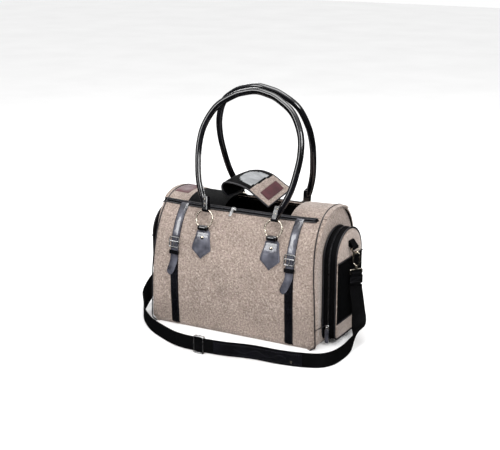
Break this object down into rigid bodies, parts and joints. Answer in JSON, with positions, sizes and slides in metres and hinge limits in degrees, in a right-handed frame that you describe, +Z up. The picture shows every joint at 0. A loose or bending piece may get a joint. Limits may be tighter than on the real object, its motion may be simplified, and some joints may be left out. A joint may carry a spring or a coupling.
{
  "type": "pet carrier bag",
  "caption": "Soft-sided tweed pet carrier bag with patent carry handles on rings, a curling top flap, zipped end pockets and a clip-on shoulder strap.",
  "frame": {"origin": "middle of the bag's base on the surface that it stands on", "axes": "+X along the bag towards the end with the visible zip, -Y out of the buckled front, +Z up"},
  "size_m": [0.5639, 0.3595, 0.5458],
  "materials": {
    "tweed": "woven wool-look tweed, matt",
    "black_fabric": "black woven nylon",
    "lining": "soft dark lining",
    "mesh": "open ventilation mesh",
    "oxblood": "dark red grained leather",
    "webbing": "ribbed black webbing",
    "patent": "black patent leather, high gloss",
    "metal": "polished nickel"
  },
  "bodies": {
    "root": {"front_panel": "tweed", "back_panel": "tweed", "bottom_panel": "black_fabric", "base_board": "lining", "floor_pad": "lining", "left_end_panel": "tweed", "right_end_panel": "tweed", "top_front_band": "black_fabric", "top_back_band": "black_fabric", "top_left_strip": "tweed", "top_right_strip": "tweed", "top_mesh_panel": "mesh", "top_patch": "oxblood", "left_belt": "patent", "left_belt_tip": "patent", "left_buckle": "metal", "left_keeper": "patent", "right_belt": "patent", "right_belt_tip": "patent", "right_buckle": "metal", "right_keeper": "patent", "front_left_anchor": "patent", "front_right_anchor": "patent", "back_left_anchor": "patent", "back_right_anchor": "patent", "left_pocket_gusset": "black_fabric", "left_pocket_face": "tweed", "left_pocket_window": "mesh", "left_dring_tab": "webbing", "right_pocket_gusset": "black_fabric", "right_pocket_face": "tweed", "right_pocket_window": "mesh", "right_dring_tab": "webbing", "shoulder_strap": "webbing", "strap_overlay": "patent", "overlay_stud": "metal"},
    "front_rings": {"front_left_ring": "metal", "front_right_ring": "metal"},
    "front_grip": {"front_handle": "patent"},
    "back_rings": {"back_left_ring": "metal", "back_right_ring": "metal"},
    "back_grip": {"back_handle": "patent"},
    "flap_root": {"flap_root_panel": "black_fabric"},
    "flap_middle": {"flap_window_frame": "black_fabric", "flap_mesh": "mesh"},
    "flap_end": {"flap_end_panel": "tweed", "flap_patch": "oxblood"},
    "top_slider": {"top_zip_slider": "metal"},
    "top_pull": {"top_zip_pull": "metal"},
    "end_slider": {"end_zip_slider": "metal"},
    "end_pull": {"end_zip_pull": "patent"},
    "adjuster": {"strap_adjuster": "metal"},
    "left_ring_loop": {"left_dring": "metal"},
    "left_hook": {"left_snap_hook": "metal", "left_strap_end": "webbing"},
    "left_gate": {"left_hook_gate": "metal"},
    "right_ring_loop": {"right_dring": "metal"},
    "right_hook": {"right_snap_hook": "metal", "right_strap_end": "webbing"},
    "right_gate": {"right_hook_gate": "metal"}
  },
  "joints": [
    {"name": "front_rings_swing", "type": "hinge", "parent": "root", "child": "front_rings", "pos_m": [0, -0.1028, 0.2348], "axis": [1, 0, 0], "range_deg": [0, 75]},
    {"name": "front_handle_swing", "type": "hinge", "parent": "front_rings", "child": "front_grip", "pos_m": [0, -0.0888, 0.2734], "axis": [1, 0, 0], "range_deg": [0, 75]},
    {"name": "back_rings_swing", "type": "hinge", "parent": "root", "child": "back_rings", "pos_m": [0, 0.1028, 0.2348], "axis": [-1, 0, 0], "range_deg": [0, 75]},
    {"name": "back_handle_swing", "type": "hinge", "parent": "back_rings", "child": "back_grip", "pos_m": [0, 0.0888, 0.2734], "axis": [-1, 0, 0], "range_deg": [0, 75]},
    {"name": "flap_root_fold", "type": "hinge", "parent": "root", "child": "flap_root", "pos_m": [-0.0455, 0, 0.298], "axis": [0, 1, 0], "range_deg": [-30, 100]},
    {"name": "flap_bend", "type": "hinge", "parent": "flap_root", "child": "flap_middle", "pos_m": [-0.0519, 0, 0.3344], "axis": [0, -1, 0], "range_deg": [0, 100]},
    {"name": "flap_tip_bend", "type": "hinge", "parent": "flap_middle", "child": "flap_end", "pos_m": [0.0131, 0, 0.3344], "axis": [0, -1, 0], "range_deg": [0, 35]},
    {"name": "top_zip_slide", "type": "slide", "parent": "root", "child": "top_slider", "axis": [1, 0, 0], "range_m": [-0.03, 0.065]},
    {"name": "top_pull_lift", "type": "hinge", "parent": "top_slider", "child": "top_pull", "pos_m": [-0.018, -0.0699, 0.277], "axis": [-1, 0, 0], "range_deg": [0, 110]},
    {"name": "end_zip_slide", "type": "slide", "parent": "root", "child": "end_slider", "axis": [0, 0, 1], "range_m": [0, 0.12]},
    {"name": "end_pull_lift", "type": "hinge", "parent": "end_slider", "child": "end_pull", "pos_m": [0.215, -0.0718, 0.038], "axis": [-1, 0, 0], "range_deg": [0, 100]},
    {"name": "adjuster_slide", "type": "slide", "parent": "root", "child": "adjuster", "axis": [-1, 0, 0], "range_m": [-0.018, 0.018]},
    {"name": "right_dring_swing", "type": "hinge", "parent": "root", "child": "right_ring_loop", "pos_m": [0.2445, 0, 0.209], "axis": [0, -1, 0], "range_deg": [0, 40]},
    {"name": "right_hook_swing", "type": "hinge", "parent": "right_ring_loop", "child": "right_hook", "pos_m": [0.2496, 0, 0.1949], "axis": [0, -1, 0], "range_deg": [0, 20]},
    {"name": "right_gate_snap", "type": "hinge", "parent": "right_hook", "child": "right_gate", "pos_m": [0.2571, 0, 0.1768], "axis": [0, -1, 0], "range_deg": [0, 25], "stiffness_Nm_per_rad": 0.01},
    {"name": "left_dring_swing", "type": "hinge", "parent": "root", "child": "left_ring_loop", "pos_m": [-0.2445, 0, 0.209], "axis": [0, 1, 0], "range_deg": [0, 40]},
    {"name": "left_hook_swing", "type": "hinge", "parent": "left_ring_loop", "child": "left_hook", "pos_m": [-0.2496, 0, 0.1949], "axis": [0, 1, 0], "range_deg": [0, 20]},
    {"name": "left_gate_snap", "type": "hinge", "parent": "left_hook", "child": "left_gate", "pos_m": [-0.2571, 0, 0.1768], "axis": [0, 1, 0], "range_deg": [0, 25], "stiffness_Nm_per_rad": 0.01}
  ],
  "couplings": [
    {"joint": "flap_tip_bend", "follows": "flap_bend", "ratio": 0.35}
  ]
}
